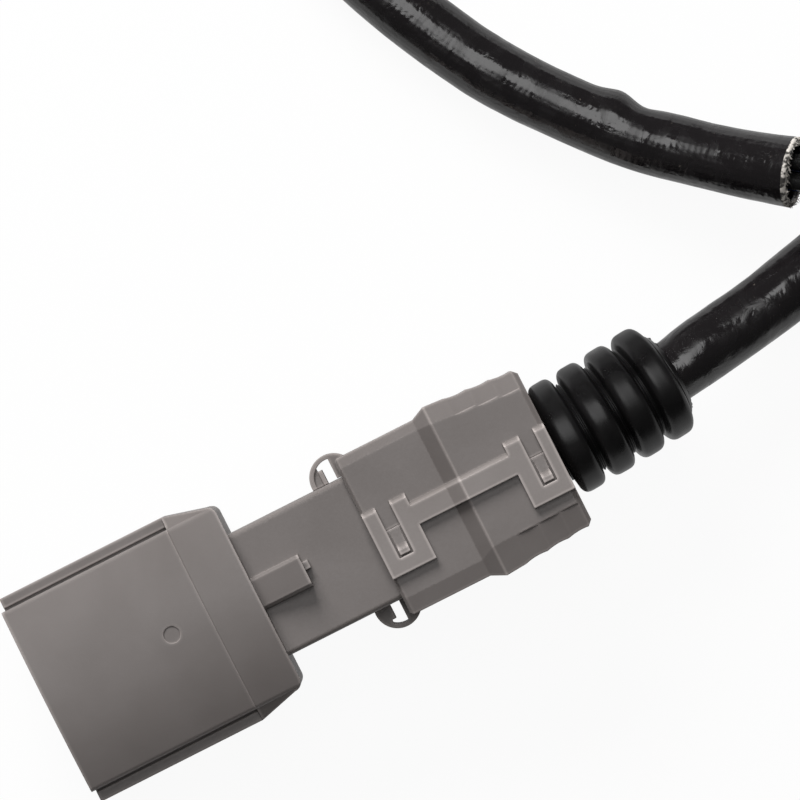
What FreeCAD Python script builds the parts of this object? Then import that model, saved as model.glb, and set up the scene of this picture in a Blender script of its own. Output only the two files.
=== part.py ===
import FreeCAD, Part
import math
import os

# Exhaust oxygen sensor with its lead: a threaded sensor body, four wires in a
# glass fibre sleeve, and a grey four way connector with a ribbed rubber boot.
# Millimetres. The sensor lies along +X with its tip at the +X end, and the floor
# is z = 0. The origin is on the floor under the middle of the sensor body.

os.makedirs("parts", exist_ok=True)

V = FreeCAD.Vector
FIT = 0.1

# Sensor shell
HEX_AF = 22.0
HEX_THICK = 10.0
HEX_CHAMFER = 1.2
THREAD_R = 9.0
THREAD_LENGTH = 11.0
THREAD_CHAMFER = 1.0
RELIEF_LENGTH = 3.0
RELIEF_R = 8.4
COLLAR_R = 8.0
COLLAR_LENGTH = 8.0
PACKING_BORE_R = 6.2
CRIMP_BORE_R = 4.2
CRIMP_LENGTH = 2.0
NOSE_BORE_R = 3.6

# Crush gasket
GASKET_WIDTH = 1.8
GASKET_THICK = 2.0

# Protection tubes over the tip
TUBE_SHEET = 0.4
OUTER_TUBE_R = 5.9
OUTER_TUBE_PROUD = 17.0
INNER_TUBE_R = 4.3
INNER_TUBE_PROUD = 14.0
TUBE_FLANGE_R = 7.1
TUBE_LIP = 2.1
OUTER_HOLE_R = 1.25
INNER_HOLE_R = 1.0
TUBE_HOLES = 6
TUBE_ROUND = 1.6
OUTER_HOLES_BACK = 7.0
INNER_HOLES_BACK = 10.0

# Sensing element, heater and packing
ELEMENT_R = 3.4
ELEMENT_TIP_R = 2.5
ELEMENT_BORE_R = 1.45
ELEMENT_WALL_END = 1.5
FLANGE_R = 4.9
FLANGE_LENGTH = 4.6
ELEMENT_REAR = 17.5
ELEMENT_SHOULDER = 0.4
HEATER_R = 1.2
HEATER_LENGTH = 57.0
SEAT_RING_THICK = 0.4
PACKING_LENGTH = 7.5

# Rear casing, vent filter and its cover
CASING_R = 6.35
CASING_SHEET = 0.45
CASING_REAR = 25.0
CASING_CONE = 3.0
CASING_SKIRT = 7.0
COLLAR_BARE = 1.0
VENT_R = 0.8
VENTS = 4
FILTER_THICK = 0.65
FILTER_LENGTH = 8.0
FILTER_FROM_REAR = 13.0
COVER_SHEET = 0.35
COVER_CRIMP = 1.5
COVER_MARGIN = 1.0

# Grommet, contact separator and contacts
GROMMET_LENGTH = 9.0
GROMMET_PROUD = 2.0
GROMMET_ROUND = 0.8
SEPARATOR_LENGTH = 13.5
SEPARATOR_GAP = 4.0
SEPARATOR_R = 5.7
CONTACT_HOLE_R = 1.0
CONTACT_W = 1.4
CONTACT_T = 0.6
BARREL_WALL = 0.3
BARREL_LENGTH = 3.0
WIRE_IN_BARREL = 1.5
BARREL_GAP = 0.5
BLADE_SINK = 0.5

# Wires and sleeve
WIRE_R = 1.0
SLEEVE_R = 3.75
SLEEVE_WALL = 0.6
WIRE_SPREAD = 1.05
GROMMET_SPREAD = 2.0

# Connector: where its mouth lies, then its own sizes along its axis from the mouth
PLUG_X = -181.85
PLUG_Y = 9.0
HOOD_LENGTH = 26.75
HOOD_HALF_W = 11.3
HOOD_HALF_H = 10.5
HOOD_DOME_R = 40.0
HOOD_EDGE = 0.6
HOOD_CORNER = 1.1
HOOD_WALL = 1.7
HOOD_FLOOR = 1.6
HOOD_DEPTH = 20.85
HOOD_STEP = 0.12
CAVITY_CORNER = 1.5
RIB_PROUD = 1.5
RIB_FROM_MOUTH = 0.4
RIB_HALF_H = 6.8
RIB_GROOVE_W = 0.3
RIB_GROOVE_D = 0.35
TAPER_INNER = 9.8
TAPER_SINK = 0.02
TAPER_END_H = 8.5
TAPER_PROUD = 0.2
MARK_R = 0.95
MARK_DEPTH = 0.12
MARK_PLACE = (16.15, 0.5)
NECK_LENGTH = 17.1
NECK_HALF_W = 7.65
NECK_HALF_H = 7.2
NECK_CORNER = 0.6
COLLAR_FROM_END = 1.8
COLLAR_THICK = 1.0
COLLAR_PROUD = 0.6
LOCK_LENGTH = 6.05
LOCK_SIDES = (-1.75, 2.15)
LOCK_FRONT_H = 0.9
LOCK_REAR_H = 2.2
LOCK_BEVEL = 0.35
NUB_LENGTH = 0.7
NUB_SIDES = (0.15, 1.15)
NUB_H = 1.1
PITCH = 6.0
BLADE_W = 2.3
BLADE_T = 0.64
BLADE_TIP = 0.25
BLADE_FROM_MOUTH = 7.55
TERMINAL_W = 2.8
TERMINAL_H = 2.4
TERMINAL_LENGTH = 9.0
CRIMP_ON_WIRE = 2.2
SLOT_DEPTH = 2.0
SEAL_R = 2.3
SEAL_LENGTH = 3.2
SEAL_FROM_END = 5.2
RETAINER_THICK = 2.0

# Rear covers, from their front edge
COVER_LENGTH = 23.0
COVER_OVERLAP = 2.7
FRONT_LENGTH = 10.0
RAMP_LENGTH = 1.7
FRONT_HALF_W = 9.8
FRONT_HALF_H = 8.4
FRONT_BEVELS = ((1.2, 0.432), (2.0, 0.36))
REAR_HALF_W = 10.6
REAR_HALF_H = 9.6
REAR_BEVELS = ((2.1, 0.756), (3.6, 0.648))
END_HALF_W = 9.8
END_BEVELS = ((2.4, 0.864), (3.1, 0.558))
COVER_EDGE = 0.35
COVER_END_EDGE = 0.6
CAVITY_HALF_W = 8.2
CAVITY_HALF_H = 7.4
END_WALL = 1.5
SCALLOPS = 3
SCALLOP_FIRST = 3.0
SCALLOP_R = 6.9
SCALLOP_DEPTH = 0.14
SCALLOP_LEAD = 0.5
PLATE_PROUD = 0.8
PLATE_GAP = 0.05
PLATE_ROOT = 0.5
PLATE_SLOPE = (0.5, 0.15)
LEG_REACH = 5.25
LEG_BACK = 2.95
BAR_REACH = 1.0
BAR_BACK = 1.8
FRONT_LEG = (0.0, 5.5)
REAR_LEG = (17.85, 23.0)
FRONT_SLOT = (1.75, 3.5)
REAR_SLOT = (19.85, 21.6)
SLOT_REACH = 3.45
SLOT_RAMP_LENGTH = 1.7
SLOT_RAMP_DEPTH = 0.55
BARB_INSET = 0.25
BARB_PROUD = 0.72
BARB_LOW = 0.15
BARB_TOP_LENGTH = 0.6
EAR_R = 2.75
EAR_HOLE_R = 2.2
EAR_CENTRE = (-0.9, 8.05)
EAR_GAP = 0.8
EAR_STRAP = 0.55
EAR_NOTCH = (1.35, 1.35)
EAR_HALF_H = 2.6
EAR_RECESS = 0.25
EAR_RIM = 0.5
EAR_FOOT_GAP = 0.02

# Boot
BOOT_FLANGE_R = 6.6
BOOT_FLANGE_THICK = 2.0
BOOT_NECK_R = 4.8
BOOT_VALLEY_R = 5.4
BOOT_RING_R = 6.9
BOOT_RING_HALF = 1.4
BOOT_RINGS = 4
BOOT_RING_FIRST = 1.85
BOOT_RING_PITCH = 3.82
BOOT_COLLAR_R = 4.9
BOOT_COLLAR_LENGTH = 2.4
BOOT_BORE_R = 3.2
BOOT_BEND = 8.0
BOOT_START = 0.5
BOOT_SIDE = (0.25, 0.62, 1.37)
BOOT_LENGTH = 15.5
BOOT_DROOP = 1.34
SLEEVE_IN_BOOT = 4.1

# Places that follow from the sizes
AXIS_Z = HEX_AF / 2
SHELL_LENGTH = COLLAR_LENGTH + HEX_THICK + RELIEF_LENGTH + THREAD_LENGTH
CASING_LENGTH = CASING_REAR + CASING_CONE + CASING_SKIRT
SENSOR_LENGTH = GROMMET_PROUD + CASING_LENGTH + SHELL_LENGTH - CASING_SKIRT + COLLAR_BARE + OUTER_TUBE_PROUD
REAR_X = -SENSOR_LENGTH / 2
CASING_X = REAR_X + GROMMET_PROUD
CASING_END_X = CASING_X + CASING_LENGTH
SHELL_X = CASING_END_X - CASING_SKIRT + COLLAR_BARE
HEX_X = SHELL_X + COLLAR_LENGTH
SEAT_X = HEX_X + HEX_THICK
NOSE_X = SEAT_X + RELIEF_LENGTH + THREAD_LENGTH
TIP_X = NOSE_X + OUTER_TUBE_PROUD
CAVITY_X = NOSE_X - TUBE_LIP - 2 * TUBE_SHEET - FIT
STEP_X = SEAT_X
GROMMET_END_X = REAR_X + GROMMET_LENGTH
SEPARATOR_X = GROMMET_END_X + SEPARATOR_GAP
BARREL_X = GROMMET_END_X + BARREL_GAP
FILTER_X = CASING_X + FILTER_FROM_REAR
PLUG_Z = HOOD_HALF_H
NECK_END = HOOD_LENGTH + NECK_LENGTH
COVER_X = NECK_END - COVER_OVERLAP
COVER_END = COVER_X + COVER_LENGTH
PIN_PLACES = [(-1, 1), (1, 1), (-1, -1), (1, -1)]
WIRE_NAMES = ["wire_black_1", "wire_black_2", "wire_blue", "wire_white"]

# The lead's middle line in the row frame, chosen by hand: out of the boot, round
# one loop on the floor, and over itself to the grommet.
SLEEVE_ROUTE = [
    (-106.0, 10.0, 9.83), (-96.0, 11.0, 8.07), (-84.0, 13.0, 5.6), (-69.1, 17.5, 3.75),
    (-52.7, 25.8, 3.75), (-39.4, 39.0, 3.75), (-30.6, 56.6, 3.75), (-27.8, 78.2, 3.75),
    (-30.6, 98.9, 3.75), (-38.7, 115.8, 3.75), (-52.8, 128.2, 3.75), (-70.7, 133.4, 3.75),
    (-91.7, 129.9, 3.75), (-106.8, 119.0, 3.75), (-116.0, 102.7, 3.75), (-118.1, 84.0, 3.75),
    (-112.7, 66.1, 3.75), (-105.3, 50.9, 3.75), (-95.9, 38.8, 4.5), (-87.0, 30.2, 6.5),
    (-79.0, 24.3, 9.93)]
WIRE_START = [(-146.0, 9.0, 10.5, 3.0), (-134.0, 9.0, 10.5, 3.0), (-123.0, 9.0, 10.5, 1.3),
              (-109.8, 9.62, 10.5, 1.05)]
WIRE_FINISH = [(-72.9, 19.9, 12.5, 1.15), (-62.5, 12.0, 13.6, 1.5), (-47.5, 0.0, 11.0, 2.0),
               (-29.0, 0.0, 11.0, 2.0)]


def block(x0, x1, y0, y1, z0, z1):
    """A box between two corners."""
    return Part.makeBox(x1 - x0, y1 - y0, z1 - z0, V(x0, y0, z0))


def rod(x0, x1, radius, y=0.0, z=0.0):
    """A cylinder along X."""
    return Part.makeCylinder(radius, x1 - x0, V(x0, y, z), V(1, 0, 0))


def pipe(x0, x1, outer, inner, y=0.0, z=0.0):
    """A tube along X."""
    return rod(x0, x1, outer, y, z).cut(rod(x0 - 1, x1 + 1, inner, y, z))


def prism(points, direction):
    """A closed outline pushed along a direction."""
    corners = [V(*p) for p in points]
    return Part.Face(Part.makePolygon(corners + corners[:1])).extrude(V(*direction))


def turned(outline):
    """An outline of (x, radius) turned about the X axis."""
    corners = [V(x, r, 0) for x, r in outline]
    face = Part.Face(Part.makePolygon(corners + corners[:1]))
    return face.revolve(V(0, 0, 0), V(1, 0, 0), 360)


def rounded_bar(x0, x1, half_w, half_h, corner):
    """A bar along X whose four long edges are rounded."""
    bar = block(x0, x1, -half_w, half_w, -half_h, half_h)
    long_edges = [e for e in bar.Edges if abs(e.tangentAt(e.FirstParameter).x) > 0.99]
    return bar.makeFillet(corner, long_edges)


def domed(y, half_h):
    """The height of the hood's dome at a place across it."""
    return half_h - HOOD_DOME_R + math.sqrt(HOOD_DOME_R ** 2 - y ** 2)


def domed_bar(x0, x1, half_w, half_h, edge):
    """A bar along X with a gently domed top and rounded long edges."""
    shoulder = domed(half_w, half_h)
    dome = Part.Arc(V(x0, -half_w, shoulder), V(x0, 0, half_h), V(x0, half_w, shoulder)).toShape()
    rest = Part.makePolygon([V(x0, half_w, shoulder), V(x0, half_w, -half_h), V(x0, -half_w, -half_h),
                             V(x0, -half_w, shoulder)])
    bar = Part.Face(Part.Wire([dome] + rest.Edges)).extrude(V(x1 - x0, 0, 0))
    long_edges = [e for e in bar.Edges if abs(e.tangentAt(e.FirstParameter).x) > 0.99]
    return bar.makeFillet(edge, long_edges)


def eight_sided(x, half_w, half_h, bevels):
    """A rectangle across X with its corners cut off: its upper left and lower right one
    by the first (width, height), the other two by the second."""
    w, h = half_w, half_h
    (aw, ah), (bw, bh) = bevels
    half = [(w - aw, h), (w, h - ah), (w, bh - h), (w - bw, -h)]
    points = half + [(-y, -z) for y, z in half]
    corners = [V(x, y, z) for y, z in points]
    return Part.makePolygon(corners + corners[:1])


def path_edges(points):
    """Straight runs joined by tangent arcs, each arc as large as its runs allow."""
    corners = [V(*p[:3]) for p in points]
    edges = []
    radii = []
    last = corners[0]
    for before, corner, after in zip(corners, corners[1:], corners[2:]):
        back = (before - corner).normalize()
        ahead = (after - corner).normalize()
        half_turn = (math.pi - back.getAngle(ahead)) / 2
        reach = 0.45 * min((before - corner).Length, (after - corner).Length)
        radius = reach / math.tan(half_turn)
        start = corner + back * reach
        end = corner + ahead * reach
        middle_dir = (back + ahead).normalize()
        middle = corner + middle_dir * (radius / math.cos(half_turn) - radius)
        edges.append(Part.LineSegment(last, start).toShape())
        edges.append(Part.Arc(start, middle, end).toShape())
        radii.append(radius)
        last = end
    edges.append(Part.LineSegment(last, corners[-1]).toShape())
    return edges, radii


def swept(points, radius):
    """A round bar along a route."""
    edges = path_edges(points)[0]
    start = V(*points[0][:3])
    heading = V(*points[1][:3]) - start
    ring = Part.Wire([Part.makeCircle(radius, start, heading)])
    return Part.Wire(edges).makePipeShell([ring], True, False)


def at_distance(edges, distance):
    """The point and the heading at a distance along joined edges."""
    for edge in edges:
        if distance <= edge.Length:
            parameter = edge.getParameterByLength(distance)
            return edge.valueAt(parameter), edge.tangentAt(parameter)
        distance -= edge.Length
    return edges[-1].valueAt(edges[-1].LastParameter), edges[-1].tangentAt(edges[-1].LastParameter)


def beside(points, side, up):
    """A route that runs beside a middle line, by each point's own spread."""
    moved = []
    last = len(points) - 1
    for i, (x, y, z, spread) in enumerate(points):
        before = points[0] if i <= 1 else points[i - 1]
        after = points[last] if i >= last - 1 else points[i + 1]
        if i == 1:
            after = points[1]
        if i == last - 1:
            before = points[i]
        heading = V(after[0] - before[0], after[1] - before[1], 0).normalize()
        moved.append((x - heading.y * side * spread, y + heading.x * side * spread, z + up * spread))
    return moved


def placed(shape):
    """Moves a shape of the connector from its own frame to its place."""
    shape.translate(V(PLUG_X, PLUG_Y, PLUG_Z))
    return shape


def on_sensor_axis(shape):
    """Moves a shape of the sensor body up to the sensor's axis."""
    shape.translate(V(0, 0, AXIS_Z))
    return shape


def save(name, shape):
    """Writes one node and prints how it came out."""
    shape.exportStep("parts/" + name + ".step")
    print(name, "solids", len(shape.Solids), "volume", round(shape.Volume, 2), "valid", shape.isValid())


# The sensor body

def hexagon():
    """The spanner hexagon with its corners turned off, two flats level."""
    corner_r = HEX_AF / math.sqrt(3)
    points = []
    for i in range(6):
        angle = math.radians(60 * i)
        points.append((HEX_X, corner_r * math.cos(angle), corner_r * math.sin(angle)))
    turned_off = turned([(HEX_X, 0), (HEX_X, corner_r - HEX_CHAMFER), (HEX_X + HEX_CHAMFER / 2, corner_r),
                         (SEAT_X - HEX_CHAMFER / 2, corner_r), (SEAT_X, corner_r - HEX_CHAMFER),
                         (SEAT_X, 0)])
    return prism(points, (HEX_THICK, 0, 0)).common(turned_off)


def sensor_shell():
    """The steel shell: collar, hexagon, thread and the bores inside."""
    outside = turned([(SHELL_X, 0), (SHELL_X, COLLAR_R), (SEAT_X, COLLAR_R), (SEAT_X, RELIEF_R),
                      (SEAT_X + RELIEF_LENGTH, RELIEF_R),
                      (SEAT_X + RELIEF_LENGTH + THREAD_R - RELIEF_R, THREAD_R),
                      (NOSE_X - THREAD_CHAMFER, THREAD_R), (NOSE_X, THREAD_R - THREAD_CHAMFER),
                      (NOSE_X, 0)])
    bores = turned([(SHELL_X - 1, 0), (SHELL_X - 1, CRIMP_BORE_R), (SHELL_X + CRIMP_LENGTH, CRIMP_BORE_R),
                    (SHELL_X + CRIMP_LENGTH, PACKING_BORE_R), (STEP_X - FLANGE_LENGTH, PACKING_BORE_R),
                    (STEP_X - FLANGE_LENGTH, FLANGE_R + FIT), (STEP_X + SEAT_RING_THICK, FLANGE_R + FIT),
                    (STEP_X + SEAT_RING_THICK, NOSE_BORE_R), (CAVITY_X, NOSE_BORE_R),
                    (CAVITY_X, TUBE_FLANGE_R + FIT), (NOSE_X - TUBE_LIP, TUBE_FLANGE_R + FIT),
                    (NOSE_X - TUBE_LIP, OUTER_TUBE_R + FIT), (NOSE_X + 1, OUTER_TUBE_R + FIT),
                    (NOSE_X + 1, 0)])
    return outside.fuse(hexagon()).cut(bores).removeSplitter()


def gasket():
    """The crush ring behind the thread."""
    inner = THREAD_R + FIT
    return pipe(SEAT_X, SEAT_X + GASKET_THICK, inner + GASKET_WIDTH, inner)


def cup(x0, x1, radius, flange_x):
    """A deep drawn tube with a flange at its open end and a rounded closed end."""
    outside = rod(flange_x, x1, radius)
    end_edges = [e for e in outside.Edges if abs(e.CenterOfMass.x - x1) < 0.01]
    outside = outside.makeFillet(TUBE_ROUND, end_edges)
    inside = rod(flange_x - 1, x1 - TUBE_SHEET, radius - TUBE_SHEET)
    end_edges = [e for e in inside.Edges if abs(e.CenterOfMass.x - x1 + TUBE_SHEET) < 0.01]
    inside = inside.makeFillet(TUBE_ROUND - TUBE_SHEET, end_edges)
    flange = rod(x0, x0 + TUBE_SHEET, TUBE_FLANGE_R)
    return outside.fuse(flange).cut(inside)


def holes_round(x, hole_r, reach, count, first=0.0):
    """Radial holes, evenly round the axis."""
    drills = []
    for i in range(count):
        angle = math.radians(first + 360.0 * i / count)
        drills.append(Part.makeCylinder(hole_r, reach, V(x, 0, 0), V(0, math.cos(angle), math.sin(angle))))
    return drills


def outer_protection_tube():
    """The outer tube with one ring of gas holes and one in its end."""
    flange_x = CAVITY_X + TUBE_SHEET
    tube = cup(flange_x, TIP_X, OUTER_TUBE_R, flange_x)
    end_hole = rod(TIP_X - 2, TIP_X + 1, OUTER_HOLE_R)
    rings = holes_round(TIP_X - OUTER_HOLES_BACK, OUTER_HOLE_R, OUTER_TUBE_R + 1, TUBE_HOLES)
    return tube.cut(rings + [end_hole])


def inner_protection_tube():
    """The inner tube, its holes set back from the outer ones."""
    end_x = NOSE_X + INNER_TUBE_PROUD
    tube = cup(CAVITY_X, end_x, INNER_TUBE_R, CAVITY_X)
    end_hole = rod(end_x - 2, end_x + 1, INNER_HOLE_R)
    rings = holes_round(end_x - INNER_HOLES_BACK, INNER_HOLE_R, INNER_TUBE_R + 1, TUBE_HOLES, 30.0)
    return tube.cut(rings + [end_hole])


def sensing_element():
    """The closed ceramic thimble, with a flange near its middle."""
    end_x = NOSE_X + INNER_TUBE_PROUD - ELEMENT_WALL_END
    rear_x = STEP_X - ELEMENT_REAR - FLANGE_LENGTH
    body = turned([(rear_x, 0), (rear_x, ELEMENT_R), (STEP_X - FLANGE_LENGTH, ELEMENT_R),
                   (STEP_X - FLANGE_LENGTH, FLANGE_R), (STEP_X, FLANGE_R),
                   (STEP_X, ELEMENT_R - ELEMENT_SHOULDER), (end_x - ELEMENT_TIP_R, ELEMENT_TIP_R),
                   (end_x - ELEMENT_TIP_R, 0)])
    tip = Part.makeSphere(ELEMENT_TIP_R, V(end_x - ELEMENT_TIP_R, 0, 0))
    bore = rod(rear_x - 1, end_x - ELEMENT_WALL_END, ELEMENT_BORE_R)
    return body.fuse(tip).cut(bore).removeSplitter()


def heater_rod():
    """The ceramic heater inside the element."""
    end_x = NOSE_X + INNER_TUBE_PROUD - 2 * ELEMENT_WALL_END - FIT
    return rod(end_x - HEATER_LENGTH, end_x, HEATER_R)


def seat_ring():
    """The thin metal ring that the element's flange seats on."""
    return pipe(STEP_X, STEP_X + SEAT_RING_THICK, FLANGE_R, NOSE_BORE_R)


def powder_packing():
    """The pressed talc ring behind the flange."""
    end_x = STEP_X - FLANGE_LENGTH
    return pipe(end_x - PACKING_LENGTH, end_x, PACKING_BORE_R, ELEMENT_R)


def insulator_sleeve():
    """The ceramic sleeve that presses the talc, under the shell's crimp."""
    end_x = STEP_X - FLANGE_LENGTH - PACKING_LENGTH
    return pipe(SHELL_X + CRIMP_LENGTH, end_x, PACKING_BORE_R - FIT / 2, ELEMENT_R + FIT)


def rear_casing():
    """The thin steel casing from the shell's collar back to the grommet."""
    cone_x = CASING_X + CASING_REAR
    skirt_x = cone_x + CASING_CONE
    sheet = CASING_SHEET
    skirt_r = COLLAR_R + FIT / 2 + sheet
    wall = turned([(CASING_X, CASING_R), (cone_x, CASING_R), (skirt_x, skirt_r), (CASING_END_X, skirt_r),
                   (CASING_END_X, skirt_r - sheet), (skirt_x, skirt_r - sheet),
                   (cone_x, CASING_R - sheet), (CASING_X, CASING_R - sheet)])
    return wall.cut(holes_round(FILTER_X + FILTER_LENGTH / 2, VENT_R, CASING_R + 1, VENTS))


def vent_filter():
    """The porous ring over the casing's vents."""
    return pipe(FILTER_X, FILTER_X + FILTER_LENGTH, CASING_R + FILTER_THICK, CASING_R)


def filter_cover():
    """The outer vented cover, crimped down at both ends."""
    low = CASING_R
    high = CASING_R + FILTER_THICK
    x0 = FILTER_X - COVER_MARGIN
    x1 = FILTER_X + FILTER_LENGTH + COVER_MARGIN
    t = COVER_SHEET
    c = COVER_CRIMP
    m = COVER_MARGIN
    wall = turned([(x0 - c, low), (x0, low), (x0 + m, high), (x1 - m, high), (x1, low), (x1 + c, low),
                   (x1 + c, low + t), (x1, low + t), (x1 - m, high + t), (x0 + m, high + t),
                   (x0, low + t), (x0 - c, low + t)])
    middle = FILTER_X + FILTER_LENGTH / 2
    return wall.cut(holes_round(middle, VENT_R, high + t + 1, VENTS, 45.0))


def contact_separator():
    """The ceramic block that keeps the contacts apart."""
    x0 = SEPARATOR_X
    body = rod(x0, x0 + SEPARATOR_LENGTH, SEPARATOR_R)
    body = body.cut(rod(x0 - 1, x0 + SEPARATOR_LENGTH + 1, HEATER_R + FIT))
    for side, up in PIN_PLACES:
        hole = rod(x0 - 1, x0 + SEPARATOR_LENGTH + 1, CONTACT_HOLE_R,
                   side * GROMMET_SPREAD, up * GROMMET_SPREAD)
        body = body.cut(hole)
    return body


def contact(side, up):
    """One contact: a crimp barrel on the wire and a blade through the separator."""
    y = side * GROMMET_SPREAD
    z = up * GROMMET_SPREAD
    blade_end = STEP_X - ELEMENT_REAR - FLANGE_LENGTH - FIT
    barrel = rod(BARREL_X, BARREL_X + BARREL_LENGTH, WIRE_R + BARREL_WALL, y, z)
    barrel = barrel.cut(rod(BARREL_X - 1, BARREL_X + WIRE_IN_BARREL, WIRE_R, y, z))
    blade = block(BARREL_X + WIRE_IN_BARREL + BLADE_SINK, blade_end, y - CONTACT_W / 2, y + CONTACT_W / 2,
                  z - CONTACT_T / 2, z + CONTACT_T / 2)
    return barrel.fuse(blade).removeSplitter()


def grommet():
    """The rubber plug that the casing is crimped on, with a hole for each wire."""
    body = rod(REAR_X, GROMMET_END_X, CASING_R - CASING_SHEET)
    rear_edges = [e for e in body.Edges if abs(e.CenterOfMass.x - REAR_X) < 0.01]
    body = body.makeFillet(GROMMET_ROUND, rear_edges)
    for side, up in PIN_PLACES:
        y, z = side * GROMMET_SPREAD, up * GROMMET_SPREAD
        hole = rod(REAR_X - 1, GROMMET_END_X + 1, WIRE_R + FIT / 2, y, z)
        body = body.cut(hole)
    return body


# The connector, in its own frame: X from the mouth, Z = 0 on its axis

def connector_housing():
    """Open hood, ribs on its sides, neck, lock block, and the four terminal ways."""
    hood = domed_bar(0, HOOD_DEPTH, HOOD_HALF_W, HOOD_HALF_H, HOOD_EDGE)
    flange = domed_bar(HOOD_DEPTH, HOOD_LENGTH, HOOD_HALF_W, HOOD_HALF_H - HOOD_STEP, HOOD_EDGE)
    neck = rounded_bar(HOOD_LENGTH - 1, NECK_END, NECK_HALF_W, NECK_HALF_H, NECK_CORNER)
    collar_x = NECK_END - COLLAR_FROM_END
    collar = rounded_bar(collar_x, collar_x + COLLAR_THICK, NECK_HALF_W + COLLAR_PROUD,
                         NECK_HALF_H + COLLAR_PROUD, NECK_CORNER)
    shape = hood.fuse([flange, neck, collar, lock_block(), lock_nub()])
    for side in (1, -1):
        shape = shape.fuse([side_rib(side), rib_taper(side)])
        shape = shape.cut([flange_corner(side), rib_groove(side)])
    cavity = rounded_bar(-1, HOOD_DEPTH, HOOD_HALF_W - HOOD_WALL, HOOD_HALF_H - HOOD_FLOOR, CAVITY_CORNER)
    mark = Part.makeCylinder(MARK_R, 1, V(MARK_PLACE[0], MARK_PLACE[1], HOOD_HALF_H - MARK_DEPTH))
    shape = shape.cut([cavity, mark])
    for side, up in PIN_PLACES:
        shape = shape.cut(terminal_way(side * PITCH / 2, up * PITCH / 2))
    return shape.removeSplitter()


def side_rib(side):
    """A rib low on the hood's side."""
    y0, y1 = sorted([side * (HOOD_HALF_W - RIB_GROOVE_W), side * (HOOD_HALF_W + RIB_PROUD)])
    return block(RIB_FROM_MOUTH, HOOD_DEPTH, y0, y1, -RIB_HALF_H, RIB_HALF_H)


def rib_taper(side):
    """The stretch where a rib slopes up to the rear flange and dies away."""
    ends = []
    inner_h = domed(TAPER_INNER, HOOD_HALF_H - HOOD_STEP) - TAPER_SINK
    stations = [(HOOD_DEPTH, RIB_PROUD, RIB_HALF_H), (HOOD_LENGTH - HOOD_CORNER, TAPER_PROUD, TAPER_END_H),
                (HOOD_LENGTH, TAPER_PROUD, TAPER_END_H)]
    for x, proud, outer_h in stations:
        half = [(TAPER_INNER, inner_h), (HOOD_HALF_W + proud, outer_h)]
        outline = half + [(y, -z) for y, z in reversed(half)]
        corners = [V(x, side * y, z) for y, z in outline]
        ends.append(Part.makePolygon(corners + corners[:1]))
    return Part.makeLoft(ends[:2], True, True).fuse(Part.makeLoft(ends[1:], True, True))


def rib_groove(side):
    """The groove between the hood's side and its rib, above and below."""
    y0, y1 = sorted([side * HOOD_HALF_W, side * (HOOD_HALF_W + RIB_GROOVE_W)])
    upper = block(-1, HOOD_DEPTH, y0, y1, RIB_HALF_H - RIB_GROOVE_D, RIB_HALF_H + 1)
    lower = block(-1, HOOD_DEPTH, y0, y1, -RIB_HALF_H - 1, RIB_GROOVE_D - RIB_HALF_H)
    return upper.fuse(lower)


def flange_corner(side):
    """What is cut away to round one rear corner of the flange."""
    x = HOOD_LENGTH - HOOD_CORNER
    y = HOOD_HALF_W + TAPER_PROUD - HOOD_CORNER
    y0, y1 = sorted([side * y, side * (HOOD_HALF_W + RIB_PROUD + 1)])
    waste = block(x, HOOD_LENGTH + 1, y0, y1, -HOOD_HALF_H - 1, HOOD_HALF_H + 1)
    return waste.cut(Part.makeCylinder(HOOD_CORNER, 2 * HOOD_HALF_H + 4, V(x, side * y, -HOOD_HALF_H - 2)))


def lock_block():
    """The wedge on the neck that a bracket clip latches over."""
    x0 = HOOD_LENGTH - 0.5
    x1 = HOOD_LENGTH + LOCK_LENGTH
    base = NECK_HALF_H - 0.5
    y0, y1 = LOCK_SIDES
    outline = [(x0, y0, base), (x1, y0, base), (x1, y0, NECK_HALF_H + LOCK_REAR_H),
               (x0, y0, NECK_HALF_H + LOCK_FRONT_H)]
    wedge = prism(outline, (0, y1 - y0, 0))
    top = NECK_HALF_H + LOCK_FRONT_H / 2
    top_edges = [e for e in wedge.Edges if min(v.Z for v in e.Vertexes) > top and abs(e.CenterOfMass.y) > 1]
    return wedge.makeChamfer(LOCK_BEVEL, top_edges)


def lock_nub():
    """The small nub on the lock block's rear face."""
    x = HOOD_LENGTH + LOCK_LENGTH
    return block(x - 0.5, x + NUB_LENGTH, NUB_SIDES[0], NUB_SIDES[1], NECK_HALF_H - 0.5, NECK_HALF_H + NUB_H)


def terminal_way(y, z):
    """The passage of one terminal: blade slot, body cavity, seal bore."""
    w = TERMINAL_W / 2 + FIT
    h = TERMINAL_H / 2 + FIT
    slot = block(HOOD_DEPTH - 1, HOOD_DEPTH + SLOT_DEPTH, y - BLADE_W / 2 - FIT, y + BLADE_W / 2 + FIT,
                 z - BLADE_T / 2 - FIT, z + BLADE_T / 2 + FIT)
    seal_x = NECK_END - SEAL_FROM_END
    body = block(HOOD_DEPTH + SLOT_DEPTH, seal_x, y - w, y + w, z - h, z + h)
    bore = rod(seal_x, NECK_END + 1, SEAL_R, y, z)
    return slot.fuse([body, bore])


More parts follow.
